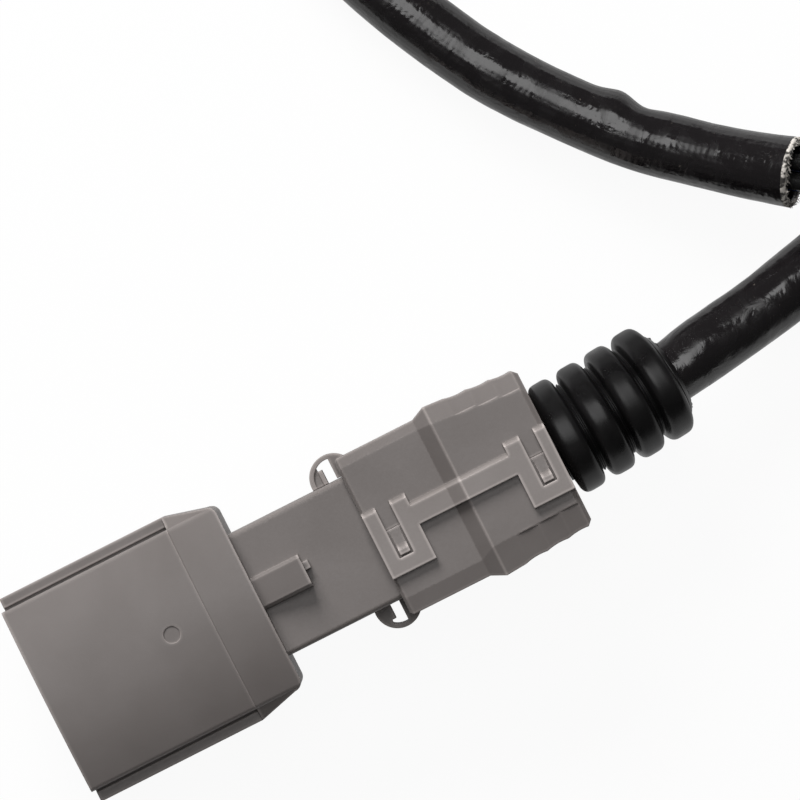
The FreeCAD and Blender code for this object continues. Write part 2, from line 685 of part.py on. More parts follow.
def male_terminal(side, up):
    """A blade, its box shaped body and the crimp on the wire."""
    y = side * PITCH / 2
    z = up * PITCH / 2
    body_x = HOOD_DEPTH + SLOT_DEPTH + FIT
    body_end = body_x + TERMINAL_LENGTH
    crimp_end = WIRE_START[0][0] - PLUG_X + CRIMP_ON_WIRE
    blade = block(BLADE_FROM_MOUTH, body_x + 1, y - BLADE_W / 2, y + BLADE_W / 2,
                  z - BLADE_T / 2, z + BLADE_T / 2)
    tip_edges = [e for e in blade.Edges if abs(e.CenterOfMass.x - BLADE_FROM_MOUTH) < 0.01]
    blade = blade.makeChamfer(BLADE_TIP, tip_edges)
    body = block(body_x, body_end, y - TERMINAL_W / 2, y + TERMINAL_W / 2,
                 z - TERMINAL_H / 2, z + TERMINAL_H / 2)
    crimp = rod(body_end - 0.5, crimp_end, WIRE_R + BARREL_WALL, y, z)
    wire_hole = rod(WIRE_START[0][0] - PLUG_X, crimp_end + 1, WIRE_R, y, z)
    return blade.fuse([body, crimp]).cut(wire_hole).removeSplitter()


def terminal_retainer():
    """The plate at the hood's floor that the blades stand through."""
    x0 = HOOD_DEPTH - RETAINER_THICK
    plate = rounded_bar(x0, HOOD_DEPTH, HOOD_HALF_W - HOOD_WALL - FIT, HOOD_HALF_H - HOOD_FLOOR - FIT,
                        CAVITY_CORNER)
    for side, up in PIN_PLACES:
        y = side * PITCH / 2
        z = up * PITCH / 2
        plate = plate.cut(block(x0 - 1, HOOD_DEPTH + 1, y - BLADE_W / 2 - FIT, y + BLADE_W / 2 + FIT,
                                z - BLADE_T / 2 - FIT, z + BLADE_T / 2 + FIT))
    return plate


def wire_seal(side, up):
    """The rubber seal round one wire in the neck."""
    x0 = NECK_END - SEAL_FROM_END
    return pipe(x0, x0 + SEAL_LENGTH, SEAL_R, WIRE_R, side * PITCH / 2, up * PITCH / 2)


def cover_face(x):
    """How high the covers' flat face stands at a distance behind their front edge."""
    rise = (x - FRONT_LENGTH) / RAMP_LENGTH
    return FRONT_HALF_H + (REAR_HALF_H - FRONT_HALF_H) * min(max(rise, 0.0), 1.0)


def over_face(x0, x1, outline):
    """A raised pad on the covers' upper face, which follows the ramp. Its outline across
    is in (y, height over the face)."""
    stations = [x for x in (FRONT_LENGTH, FRONT_LENGTH + RAMP_LENGTH) if x0 < x < x1]
    stations = [x0] + stations + [x1]
    rings = []
    for x in stations:
        corners = [V(COVER_X + x, y, cover_face(x) + rise) for y, rise in outline]
        rings.append(Part.makePolygon(corners + corners[:1]))
    spans = [Part.makeLoft([a, b], True, True) for a, b in zip(rings, rings[1:])]
    return spans[0].fuse(spans[1:]) if len(spans) > 1 else spans[0]


def cover_body():
    """The outer form of both covers together, solid."""
    rear_x = COVER_X + FRONT_LENGTH + RAMP_LENGTH
    sections = [(COVER_X, FRONT_HALF_W - COVER_EDGE, FRONT_HALF_H - COVER_EDGE, FRONT_BEVELS),
                (COVER_X + COVER_EDGE, FRONT_HALF_W, FRONT_HALF_H, FRONT_BEVELS),
                (COVER_X + FRONT_LENGTH, FRONT_HALF_W, FRONT_HALF_H, FRONT_BEVELS),
                (rear_x, REAR_HALF_W, REAR_HALF_H, REAR_BEVELS),
                (COVER_END - COVER_END_EDGE, END_HALF_W, REAR_HALF_H, END_BEVELS),
                (COVER_END, END_HALF_W - COVER_END_EDGE, REAR_HALF_H - COVER_EDGE, END_BEVELS)]
    rings = [eight_sided(*section) for section in sections]
    spans = [Part.makeLoft([a, b], True, True) for a, b in zip(rings, rings[1:])]
    return spans[0].fuse(spans[1:])


def cover_hollows():
    """What is cut out of the covers: their hollow and the fits round neck and boot."""
    wall_x = COVER_END - END_WALL
    hollow = block(NECK_END, wall_x, -CAVITY_HALF_W, CAVITY_HALF_W, -CAVITY_HALF_H, CAVITY_HALF_H)
    neck_fit = rounded_bar(COVER_X - 1, NECK_END + 1, NECK_HALF_W + FIT, NECK_HALF_H + FIT, NECK_CORNER)
    collar_x = NECK_END - COLLAR_FROM_END - FIT
    collar_fit = rounded_bar(collar_x, NECK_END, NECK_HALF_W + COLLAR_PROUD + FIT,
                             NECK_HALF_H + COLLAR_PROUD + FIT, NECK_CORNER)
    boot_hole = rod(wall_x - 1, COVER_END + 1, BOOT_NECK_R + FIT / 2)
    return [hollow, neck_fit, collar_fit, boot_hole]


def scallop_cuts():
    """Shallow hollows along the side and both bevels of one cover's rear part."""
    rear_x = COVER_X + FRONT_LENGTH + RAMP_LENGTH
    start = rear_x + SCALLOP_FIRST
    pitch = (COVER_END - start) / SCALLOPS
    tall = 2 * REAR_HALF_H + 2
    off = SCALLOP_R - SCALLOP_DEPTH
    cuts = []
    for i in range(SCALLOPS):
        x = start + (i + SCALLOP_LEAD) * pitch
        share = (x - rear_x) / (COVER_END - rear_x)
        half_w = REAR_HALF_W + (END_HALF_W - REAR_HALF_W) * share
        cuts.append(Part.makeCylinder(SCALLOP_R, tall, V(x, half_w + off, -tall / 2)))
        for up, rear, end in ((1, REAR_BEVELS[0], END_BEVELS[0]), (-1, REAR_BEVELS[1], END_BEVELS[1])):
            bevel_w = rear[0] + (end[0] - rear[0]) * share
            bevel_h = rear[1] + (end[1] - rear[1]) * share
            slope = math.hypot(bevel_w, bevel_h)
            out = V(0, bevel_h, up * bevel_w) * (1 / slope)
            along = V(0, -bevel_w, up * bevel_h) * (1 / slope)
            corner = V(x, half_w, up * (REAR_HALF_H - bevel_h))
            foot = corner + out * off - along * SCALLOP_R
            cuts.append(Part.makeCylinder(SCALLOP_R, slope + SCALLOP_R - SCALLOP_DEPTH, foot, along))
    return cuts


def latch_plate():
    """The raised latch: two slotted legs and the bar that joins them over the seam."""
    pads = []
    parts = [(FRONT_LEG, LEG_REACH, LEG_BACK), (REAR_LEG, LEG_REACH, LEG_BACK),
             ((FRONT_LEG[1], REAR_LEG[0]), BAR_REACH, BAR_BACK)]
    for (x0, x1), reach, back in parts:
        pads.append(over_face(x0, x1, [(-reach, PLATE_GAP), (0, PLATE_GAP), (0, PLATE_PROUD),
                                       (-reach, PLATE_PROUD)]))
        pads.append(over_face(x0, x1, [(0, -PLATE_ROOT), (back, -PLATE_ROOT), (back, PLATE_SLOPE[1]),
                                       (back - PLATE_SLOPE[0], PLATE_PROUD), (0, PLATE_PROUD)]))
    plate = pads[0].fuse(pads[1:])
    high = PLATE_PROUD + 1
    slot = [(-SLOT_REACH, 0), (LEG_BACK + 1, 0), (LEG_BACK + 1, high), (-SLOT_REACH, high)]
    for x0, x1 in (FRONT_SLOT, REAR_SLOT):
        plate = plate.cut(over_face(x0, x1, slot))
    return plate


def slot_ramps():
    """The sloping floors that lead into the latch plate's slots."""
    ramps = []
    for x0, x1 in (FRONT_SLOT, REAR_SLOT):
        face = cover_face(x0)
        outline = [(COVER_X + x0, 0, face - SLOT_RAMP_DEPTH), (COVER_X + x0, 0, face + 1),
                   (COVER_X + x0, SLOT_RAMP_LENGTH, face + 1), (COVER_X + x0, SLOT_RAMP_LENGTH, face)]
        ramps.append(prism(outline, (x1 - x0, 0, 0)))
    return ramps


def barbs():
    """The barbs that catch in the latch plate's slots: a slope up to a flat top."""
    pads = []
    for x0, x1 in (FRONT_SLOT, REAR_SLOT):
        face = cover_face(x0)
        x = COVER_X + x0 + BARB_INSET
        rear = BARB_INSET - SLOT_REACH
        outline = [(x, 0, face - PLATE_ROOT), (x, 0, face), (x, rear + 2 * BARB_TOP_LENGTH, face + BARB_LOW),
                   (x, rear + BARB_TOP_LENGTH, face + BARB_PROUD), (x, rear, face + BARB_PROUD),
                   (x, rear, face - PLATE_ROOT)]
        pads.append(prism(outline, (x1 - x0 - 2 * BARB_INSET, 0, 0)))
    return pads


def ear():
    """The looped tether strap at the cover's front corner, and its foot on the neck."""
    x = COVER_X + EAR_CENTRE[0]
    y = EAR_CENTRE[1]
    tall = 2 * EAR_HALF_H
    disc = Part.makeCylinder(EAR_R, tall, V(x, y, -EAR_HALF_H))
    loop = Part.makeCylinder(EAR_HOLE_R, tall + 2, V(x, y, -EAR_HALF_H - 1))
    hole_x = x - EAR_GAP
    hole = loop.common(block(hole_x, COVER_X - EAR_STRAP, 0, y + EAR_R, -tall, tall))
    notch = loop.common(block(x - EAR_NOTCH[0], x, y + EAR_NOTCH[1], y + EAR_R, -tall, tall))
    recess = loop.common(block(x - EAR_R, hole_x - EAR_RIM, 0, y + EAR_R, EAR_HALF_H - EAR_RECESS, tall))
    under = block(x - 2 * EAR_R, x + 2 * EAR_R, 0, NECK_HALF_W + EAR_FOOT_GAP, -tall, tall)
    return disc.cut([hole, notch, recess, under])


def rear_cover(turn):
    """One cover half: the left as modelled, the right the same turned half a turn."""
    big = 40.0
    half = cover_body().cut(scallop_cuts())
    half = half.common(block(COVER_X - 5, COVER_END + 1, 0, big, -big, big))
    half = half.cut(slot_ramps()).fuse([latch_plate(), ear()])
    for barb in barbs():
        barb.rotate(V(0, 0, 0), V(1, 0, 0), 180)
        half = half.fuse(barb)
    half = half.cut(cover_hollows())
    half.rotate(V(0, 0, 0), V(1, 0, 0), turn)
    return half.removeSplitter()


def boot_route():
    """The boot's middle line: level at the covers, then drooping."""
    x = COVER_END
    return [(x, BOOT_SIDE[0], 0), (x + BOOT_BEND, BOOT_SIDE[1], 0),
            (x + BOOT_LENGTH, BOOT_SIDE[2], -BOOT_DROOP)]


def boot():
    """The rubber boot: flange inside the covers, rings, and a collar on the sleeve."""
    route = boot_route()
    edges = path_edges(route)[0]
    wall_x = COVER_END - END_WALL
    flange = rod(wall_x - FIT - BOOT_FLANGE_THICK, wall_x - FIT, BOOT_FLANGE_R)
    neck = rod(wall_x - FIT - 0.5, COVER_END + 1, BOOT_NECK_R)
    length = sum(e.Length for e in edges)
    end = at_distance(edges, length - BOOT_COLLAR_LENGTH)[0]
    start = at_distance(edges, BOOT_START)[0]
    collar = swept([tuple(start), route[1], route[2]], BOOT_COLLAR_R)
    valley = swept([tuple(start), route[1], tuple(end)], BOOT_VALLEY_R)
    shape = flange.fuse([neck, collar, valley])
    for i in range(BOOT_RINGS):
        centre, heading = at_distance(edges, BOOT_RING_FIRST + i * BOOT_RING_PITCH)
        shape = shape.fuse(Part.makeTorus(BOOT_RING_R - BOOT_RING_HALF, BOOT_RING_HALF, centre, heading))
    plug = V(PLUG_X, PLUG_Y, PLUG_Z)
    before = V(*WIRE_START[2][:3]) - plug
    shape = shape.cut(swept([tuple(before), route[1], route[2]], BOOT_BORE_R))
    tail = V(*SLEEVE_ROUTE[0]) - plug
    ahead = V(*SLEEVE_ROUTE[1]) - V(*SLEEVE_ROUTE[0])
    return shape.cut(Part.makeCylinder(SLEEVE_R, SLEEVE_IN_BOOT + 2, tail, ahead))


# The lead

def sleeve():
    """The hollow woven sleeve, cut open at its far end."""
    return swept(SLEEVE_ROUTE, SLEEVE_R).cut(swept(SLEEVE_ROUTE, SLEEVE_R - SLEEVE_WALL))


def wire_route():
    """The wires' middle line from the connector to the sensor, with their spread."""
    inside = [p + (WIRE_SPREAD,) for p in SLEEVE_ROUTE[1:-1]]
    return WIRE_START + inside + WIRE_FINISH


def report_route(name, points, section):
    """Prints a route's radii, and how its solid's volume compares with its length."""
    edges, radii = path_edges(points)
    length = sum(e.Length for e in edges)
    print(name, "length", round(length, 1), "section x length", round(section * length, 1))
    print("  radii", [round(r, 1) for r in radii])


print("sensor", SENSOR_LENGTH, "x", REAR_X, TIP_X, "seat", SEAT_X, "nose", NOSE_X)
save("sensor_shell", on_sensor_axis(sensor_shell()))
save("gasket", on_sensor_axis(gasket()))
save("outer_protection_tube", on_sensor_axis(outer_protection_tube()))
save("inner_protection_tube", on_sensor_axis(inner_protection_tube()))
save("sensing_element", on_sensor_axis(sensing_element()))
save("heater_rod", on_sensor_axis(heater_rod()))
save("seat_ring", on_sensor_axis(seat_ring()))
save("powder_packing", on_sensor_axis(powder_packing()))
save("insulator_sleeve", on_sensor_axis(insulator_sleeve()))
save("rear_casing", on_sensor_axis(rear_casing()))
save("vent_filter", on_sensor_axis(vent_filter()))
save("filter_cover", on_sensor_axis(filter_cover()))
save("contact_separator", on_sensor_axis(contact_separator()))
save("grommet", on_sensor_axis(grommet()))

save("connector_housing", placed(connector_housing()))
save("terminal_retainer", placed(terminal_retainer()))
save("rear_cover_left", placed(rear_cover(0)))
save("rear_cover_right", placed(rear_cover(180)))
save("boot", placed(boot()))
for number, (side, up) in enumerate(PIN_PLACES, start=1):
    save("contact_" + str(number), on_sensor_axis(contact(side, up)))
    save("male_terminal_" + str(number), placed(male_terminal(side, up)))
    save("wire_seal_" + str(number), placed(wire_seal(side, up)))

save("sleeve", sleeve())
report_route("sleeve", SLEEVE_ROUTE, math.pi * (SLEEVE_R ** 2 - (SLEEVE_R - SLEEVE_WALL) ** 2))
for name, (side, up) in zip(WIRE_NAMES, PIN_PLACES):
    route = beside(wire_route(), side, up)
    save(name, swept(route, WIRE_R))
    report_route(name, route, math.pi * WIRE_R ** 2)
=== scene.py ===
import bmesh
import bpy
import math
import random
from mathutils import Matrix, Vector, noise


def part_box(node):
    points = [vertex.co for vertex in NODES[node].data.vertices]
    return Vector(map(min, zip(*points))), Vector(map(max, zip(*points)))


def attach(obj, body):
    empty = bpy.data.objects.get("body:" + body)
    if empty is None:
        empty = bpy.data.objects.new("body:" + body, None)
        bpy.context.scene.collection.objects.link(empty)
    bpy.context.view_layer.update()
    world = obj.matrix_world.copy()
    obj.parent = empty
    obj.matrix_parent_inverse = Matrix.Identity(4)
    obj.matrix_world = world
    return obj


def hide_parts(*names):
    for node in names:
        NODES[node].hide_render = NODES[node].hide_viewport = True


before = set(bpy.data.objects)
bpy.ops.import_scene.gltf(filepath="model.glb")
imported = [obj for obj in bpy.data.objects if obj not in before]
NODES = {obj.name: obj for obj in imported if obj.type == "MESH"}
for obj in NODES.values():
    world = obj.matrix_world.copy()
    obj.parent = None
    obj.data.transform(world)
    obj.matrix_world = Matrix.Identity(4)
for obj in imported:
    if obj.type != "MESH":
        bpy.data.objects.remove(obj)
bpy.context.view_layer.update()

# An exhaust oxygen sensor, seen from above at its connector's end. Metres, in the
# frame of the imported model: the sensor lies along +X and the floor is z = 0.

MM = 0.001

# The lead's middle line, in millimetres: the same points as in the part's source
SLEEVE_ROUTE = [
    (-106.0, 10.0, 9.83), (-96.0, 11.0, 8.07), (-84.0, 13.0, 5.6), (-69.1, 17.5, 3.75),
    (-52.7, 25.8, 3.75), (-39.4, 39.0, 3.75), (-30.6, 56.6, 3.75), (-27.8, 78.2, 3.75),
    (-30.6, 98.9, 3.75), (-38.7, 115.8, 3.75), (-52.8, 128.2, 3.75), (-70.7, 133.4, 3.75),
    (-91.7, 129.9, 3.75), (-106.8, 119.0, 3.75), (-116.0, 102.7, 3.75), (-118.1, 84.0, 3.75),
    (-112.7, 66.1, 3.75), (-105.3, 50.9, 3.75), (-95.9, 38.8, 4.5), (-87.0, 30.2, 6.5),
    (-79.0, 24.3, 9.93)]

# The wires, in millimetres: their middle line before and after the sleeve, where a
# point's last number is how far the four wires lie from that line
WIRE_START = [(-146.0, 9.0, 10.5, 3.0), (-134.0, 9.0, 10.5, 3.0), (-123.0, 9.0, 10.5, 1.3),
              (-109.8, 9.62, 10.5, 1.05)]
WIRE_FINISH = [(-72.9, 19.9, 12.5, 1.15), (-62.5, 12.0, 13.6, 1.5), (-47.5, 0.0, 11.0, 2.0),
               (-29.0, 0.0, 11.0, 2.0)]
WIRE_SPREAD = 1.05
WIRE_R = 1.0
PIN_PLACES = [(-1, 1), (1, 1), (-1, -1), (1, -1)]
WIRE_NAMES = ["wire_black_1", "wire_black_2", "wire_blue", "wire_white"]

# Sleeve, in millimetres: its sizes, and the distance from ring to ring of its mesh
SLEEVE_R = 3.75
SLEEVE_WALL = 0.6
SLEEVE_STEP = 0.5
SLEEVE_AROUND = 72
WEAVE_PITCH = 1.5

# Sleeve surface: swellings as (distance from the boot's end or the cut end, angle round
# the sleeve, height, length), in millimetres and degrees; the angle 0 is its left side.
# Then how closely they keep to their side, after how many lengths they end, and the share
# of them that the inner wall follows
SWELLS_FROM_BOOT = [(8.5, 60, 0.30, 3.0), (13.0, 0, 0.25, 4.0), (21.0, 40, 0.2, 4.0),
                    (4.6, 20, -0.25, 2.0)]
SWELLS_FROM_END = [(22.6, 10, 0.55, 2.0), (19.2, 0, -0.30, 1.8), (28.0, 30, 0.2, 5.0),
                   (14.0, 20, 0.12, 3.0), (36.0, 60, 0.15, 4.0), (46.0, 10, 0.2, 5.0)]
SWELL_FOCUS = 1.5
SWELL_REACH = 3.0
INNER_FOLLOWS = 0.8

# The wider mouth at the cut end, in millimetres, and how sharply it opens
FLARE_LENGTH = 13.0
FLARE = 0.32
FLARE_CURVE = 1.4

# Slow and fine unevenness all along the sleeve: its height in millimetres, its waves to
# the millimetre, its waves round the sleeve, and where in the noise it is read
CREEPS = [(0.12, 0.11, 0.9, 0.0), (0.03, 0.45, 2.2, 7.0)]

# Loose strands at the cut end: how unevenly they are spaced, their ranges and sizes in
# millimetres, and how far a strand leans forward, outward and sideways
FRAY_SEED = 5
FRAY_STRANDS = 230
FRAY_SHIFT = 0.4
FRAY_INSET = 0.15
FRAY_PROUD = 0.22
FRAY_ROOT = (0.15, 0.5)
FRAY_FORWARD = (0.5, 1.0)
FRAY_OUTWARD = (-0.25, 0.35)
FRAY_SIDEWAYS = 0.7
FRAY_LENGTH = (0.45, 1.0)
FRAY_THICK = (0.055, 0.10)
FRAY_CURL = (-0.15, 0.1)
FRAY_TAPER = 0.7
FRAY_RINGS = 4
FRAY_SIDES = 5

# Boot: its middle line, rings and collar, in millimetres from the covers' end
BOOT_AXIS = [(-117.7, 9.25, 10.5), (-109.7, 9.62, 10.5), (-102.2, 10.37, 9.16)]
BOOT_RINGS = 4
BOOT_RING_FIRST = 1.9
BOOT_RING_PITCH = 3.8
BOOT_RING_HALF = 1.62
BOOT_RING_R = 6.9
BOOT_VALLEY_R = 5.35
BOOT_LIP = 0.28
BOOT_LIP_HALF = 0.16
BOOT_CONE_R = 5.75
BOOT_COLLAR_R = 4.75
BOOT_NECK_R = 4.8
BOOT_START_R = 3.0
BOOT_MOUTH_R = 3.6
BOOT_MOUTH_INSET = 0.12
BOOT_ROUNDNESS = 4.2
BOOT_STEP = 0.07
BOOT_AROUND = 128

# The boot's faint unevenness: its height in millimetres, its waves round the boot and to
# the millimetre. Then how far its collar's edge wanders in millimetres, as the sum of two
# waves: their share, their waves to the mesh point, and where in the noise they are read
BOOT_UNEVEN = (0.035, 1.3, 0.35)
BOOT_RAGGED = 0.22
BOOT_WANDER = [(1.0, 0.31, (0.0, 4.0)), (0.6, 0.9, (3.0, 0.0))]

# Thread on the sensor's nose, in millimetres, and the shares of its pitch that are crest
# and flanks
THREAD_R = 9.0
THREAD_DEPTH = 0.92
THREAD_PITCH = 1.5
THREAD_RUNOUT = 0.9
THREAD_CREST = 0.16
THREAD_FLANKS = 0.72
THREAD_ROWS = 96
THREAD_AROUND = 120
NOSE_FROM = 11.0
NOSE_CHAMFER = 1.0
NOSE_TOLERANCE = 0.02

# Camera: straight down on the connector, turned so that +X runs up to the right
VIEW_X = -130.89 * MM
VIEW_Y = 21.49 * MM
VIEW_Z = 12.0 * MM
VIEW_WIDTH = 90.9 * MM
VIEW_DISTANCE = 0.9
VIEW_TURN = math.radians(-26.8)

# Light: a soft key from beyond the picture's top, a lamp nearly overhead that gives the
# gloss, both placed in metres from the picture's middle, and the world's plain light
KEY_PLACE = (0.0, 0.78, 0.45)
KEY_SIZE = 0.45
KEY_POWER = 11.0
TOP_PLACE = (0.05, 0.2, 0.88)
TOP_SIZE = 0.58
TOP_POWER = 2.4
WORLD_LIGHT = 0.06

# Floor: its size in metres, its own white, the share of its shadows that the camera sees,
# and its brightness in reflections
FLOOR_SIZE = 6.0
FLOOR_WHITE = 0.9
SHADOW_SHARE = 0.06
MIRRORED_FLOOR = 0.55

# Soft moulded edges of the grey plastic, and the strip of painted highlight along them, in
# millimetres
EDGE_RADIUS = 0.25
EDGE_HIGHLIGHT_WIDTH = 0.4
EDGE_HIGHLIGHT_GAIN = 1.0

# Rear covers, in millimetres: their ramp along X, the height of their face before and behind it,
# how softly the painted highlights on the latch plate and on the ridge behind the ramp begin,
# and how much paler these painted highlights make them
COVER_RAMP = (-130.7, -129.0)
COVER_FACE = (19.2, 20.35)
PLATE_HIGHLIGHT_BLEND = 0.2
PLATE_HIGHLIGHT_GAIN = 0.36
RIDGE_HIGHLIGHT_BLEND = (0.08, 0.24)
RIDGE_HIGHLIGHT_GAIN = 0.4

# Rounded edges of the dressed pieces: the width of the shell's in millimetres, and the
# angle, in degrees, from which an edge is rounded
SHELL_EDGE = 0.2
SHARP_ANGLE = 28.0

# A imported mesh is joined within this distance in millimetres, and its faces that lie
# flat within this angle in degrees become one
WELD = 0.002
FLAT_ANGLE = 0.08

# Colours, linear
PLASTIC_DARK = (0.160, 0.143, 0.136)
PLASTIC_LIGHT = (0.182, 0.164, 0.157)
RUBBER = (0.0045, 0.0042, 0.0044)
LACQUER = (0.0085, 0.0072, 0.0078)
LACQUER_WORN = (0.16, 0.14, 0.12)
FIBRE = (0.70, 0.66, 0.61)
RETAINER_DARK = (0.42, 0.40, 0.36)
RETAINER_LIGHT = (0.47, 0.45, 0.41)


def new_object(name, data):
    """An object in the scene, with its mesh, curve, lamp or camera."""
    obj = bpy.data.objects.new(name, data)
    bpy.context.scene.collection.objects.link(obj)
    return obj


def camera():
    """The camera, which looks straight down."""
    data = bpy.data.cameras.new("camera")
    data.sensor_width = 36.0
    data.lens = data.sensor_width * VIEW_DISTANCE / VIEW_WIDTH
    data.clip_start = 0.01
    data.clip_end = 20.0
    obj = new_object("camera", data)
    obj.location = (VIEW_X, VIEW_Y, VIEW_Z + VIEW_DISTANCE)
    obj.rotation_euler = (0.0, 0.0, VIEW_TURN)
    bpy.context.scene.camera = obj


# Routes

def route_curve(name, points):
    """A curve through a route's control points, in metres."""
    data = bpy.data.curves.new(name, "CURVE")
    data.dimensions = "3D"
    data.resolution_u = 16
    spline = data.splines.new("NURBS")
    spline.points.add(len(points) - 1)
    for point, place in zip(spline.points, points):
        point.co = (place[0] * MM, place[1] * MM, place[2] * MM, 1.0)
    spline.order_u = 3
    spline.use_endpoint_u = True
    return data


def read_line(points):
    """The points along a route's smooth curve."""
    data = route_curve("line", points)
    obj = new_object("line", data)
    mesh = bpy.data.meshes.new_from_object(obj)
    line = [v.co.copy() for v in mesh.vertices]
    bpy.data.objects.remove(obj)
    bpy.data.curves.remove(data)
    bpy.data.meshes.remove(mesh)
    return line


def even_points(line, step):
    """The same line with its points evenly spaced, and the distance at each."""
    lengths = [0.0]
    for a, b in zip(line, line[1:]):
        lengths.append(lengths[-1] + (b - a).length)
    total = lengths[-1]
    count = max(2, int(round(total / step)))
    points = []
    distances = []
    k = 0
    for i in range(count + 1):
        d = total * i / count
        while k < len(lengths) - 2 and lengths[k + 1] < d:
            k += 1
        part = (d - lengths[k]) / (lengths[k + 1] - lengths[k])
        points.append(line[k].lerp(line[k + 1], part))
        distances.append(d)
    return points, distances


def beside(points, side, up):
    """A route that runs beside a middle line, by each point's own spread."""
    moved = []
    last = len(points) - 1
    for i, (x, y, z, spread) in enumerate(points):
        before = points[0] if i <= 1 else points[i - 1]
        after = points[last] if i >= last - 1 else points[i + 1]
        if i == 1:
            after = points[1]
        if i == last - 1:
            before = points[i]
        heading = Vector((after[0] - before[0], after[1] - before[1])).normalized()
        moved.append((x - heading.y * side * spread, y + heading.x * side * spread, z + up * spread))
    return moved


def frames_along(points):
    """At each point of a line: its heading, and two directions across it, the second one up."""
    result = []
    for i in range(len(points)):
        a = points[max(i - 1, 0)]
        b = points[min(i + 1, len(points) - 1)]
        heading = (b - a).normalized()
        side = Vector((0, 0, 1)).cross(heading).normalized()
        result.append((heading, side, heading.cross(side)))
    return result


def ring_of(bm, centre, side, up, radii):
    """A closed ring of points round a centre, one radius for each."""
    ring = []
    for k, radius in enumerate(radii):
        angle = 2 * math.pi * k / len(radii)
        out = side * math.cos(angle) + up * math.sin(angle)
        ring.append(bm.verts.new(centre + out * radius))
    return ring


def rings_along(bm, line, around, radius_at):
    """Rings along a line of points, distances and frames. The radius comes from the
    distance and the angle, in millimetres."""
    rings = []
    for place, distance, (_, side, up) in zip(*line):
        angles = [2 * math.pi * k / around for k in range(around)]
        radii = [radius_at(distance / MM, angle) * MM for angle in angles]
        rings.append(ring_of(bm, place, side, up, radii))
    return rings


def join_rings(bm, rings, uv=None, along=None, girth=0.0):
    """Faces between neighbouring rings, with (distance, girth) in the UV map where asked."""
    around = len(rings[0])
    for i, (a, b) in enumerate(zip(rings, rings[1:])):
        for k in range(around):
            n = (k + 1) % around
            face = bm.faces.new((a[k], b[k], b[n], a[n]))
            if uv is not None:
                places = ((i, k), (i + 1, k), (i + 1, k + 1), (i, k + 1))
                for loop, (row, col) in zip(face.loops, places):
                    loop[uv].uv = (along[row], girth * col / around)


def mesh_object(name, bm, *materials):
    """Turns finished mesh code into a smooth object with its materials."""
    bmesh.ops.recalc_face_normals(bm, faces=bm.faces)
    mesh = bpy.data.meshes.new(name)
    bm.to_mesh(mesh)
    bm.free()
    mesh.shade_smooth()
    for mat in materials:
        mesh.materials.append(mat)
    return new_object(name, mesh)


# Materials

def new_material(name):
    """A new node material and its main shader."""
    mat = bpy.data.materials.new(name)
    mat.use_nodes = True
    return mat, mat.node_tree, mat.node_tree.nodes["Principled BSDF"]


def add(tree, kind, settings=None, **inputs):
    """A new node with its settings, its input values and its input links."""
    made = tree.nodes.new("ShaderNode" + kind)
    for key, value in (settings or {}).items():
        setattr(made, key, value)
    for key, value in inputs.items():
        plug(tree, made, key.replace("_", " "), value)
    return made


def plug(tree, made, key, value):
    """Sets or links one input of a node."""
    if isinstance(value, bpy.types.NodeSocket):
        tree.links.new(value, made.inputs[key])
    else:
        made.inputs[key].default_value = value


def finish(tree, shader, **inputs):
    """Sets or links several inputs of the main shader."""
    for key, value in inputs.items():
        plug(tree, shader, key.replace("_", " "), value)


def calc(tree, operation, a, b=0.0):
    """One step of arithmetic between sockets or numbers."""
    made = add(tree, "Math", {"operation": operation})
    plug(tree, made, 0, a)
    plug(tree, made, 1, b)
    return made.outputs[0]


def object_place(tree, stretch=(1.0, 1.0, 1.0)):
    """The object's own coordinates, in metres, stretched where asked."""
    place = add(tree, "TexCoord").outputs["Object"]
    return add(tree, "Mapping", Vector=place, Scale=stretch).outputs[0]


def noise_at(tree, place, scale, detail=2.0, distortion=0.0):
    """Cloudy noise between 0 and 1; the scale is about its waves to the metre."""
    made = add(tree, "TexNoise", Vector=place, Scale=scale, Detail=detail, Distortion=distortion)
    return made.outputs["Fac"]


def spread(tree, value, low, high, start=0.3, end=0.7):
    """Maps what lies between start and end onto low to high."""
    made = add(tree, "MapRange", Value=value)
    made.inputs["From Min"].default_value = start
    made.inputs["From Max"].default_value = end
    made.inputs["To Min"].default_value = low
    made.inputs["To Max"].default_value = high
    return made.outputs[0]


def ramp(tree, value, *stops):
    """Colours along a value, from (position, colour) stops."""
    made = add(tree, "ValToRGB", Fac=value)
    elements = made.color_ramp.elements
    while len(elements) < len(stops):
        elements.new(0.5)
    for element, (position, colour) in zip(elements, stops):
        element.position = position
        element.color = (*colour, 1.0)
    return made.outputs[0]


def bump(tree, shader, height, depth, strength, under=None):
    """Adds a bump to the shader, of a depth in millimetres, over an earlier one where given."""
    made = add(tree, "Bump", Height=height, Distance=depth * MM, Strength=strength)
    if under is not None:
        tree.links.new(under, made.inputs["Normal"])
    tree.links.new(made.outputs[0], shader.inputs["Normal"])
    return made.outputs[0]


def times(colour, factor):
    """A colour made darker or paler by a factor."""
    return tuple(channel * factor for channel in colour)


def paler(tree, colour, share, gain):
    """A colour, paler by a gain where the share is 1."""
    scale = calc(tree, "ADD", calc(tree, "MULTIPLY", share, gain), 1.0)
    return add(tree, "VectorMath", {"operation": "SCALE"}, Vector=colour, Scale=scale).outputs[0]


def plate_highlight_share(tree):
    """Where the latch plate's painted highlight lies: 1 on the plate, which stands over the covers'
    face, and 0 on the face.
    """
    place = add(tree, "SeparateXYZ", Vector=object_place(tree))
    low, high = (z * MM for z in COVER_FACE)
    face = spread(tree, place.outputs[0], low, high, COVER_RAMP[0] * MM, COVER_RAMP[1] * MM)
    height = calc(tree, "SUBTRACT", place.outputs[2], face)
    return spread(tree, height, 0.0, 1.0, 0.0, PLATE_HIGHLIGHT_BLEND * MM)


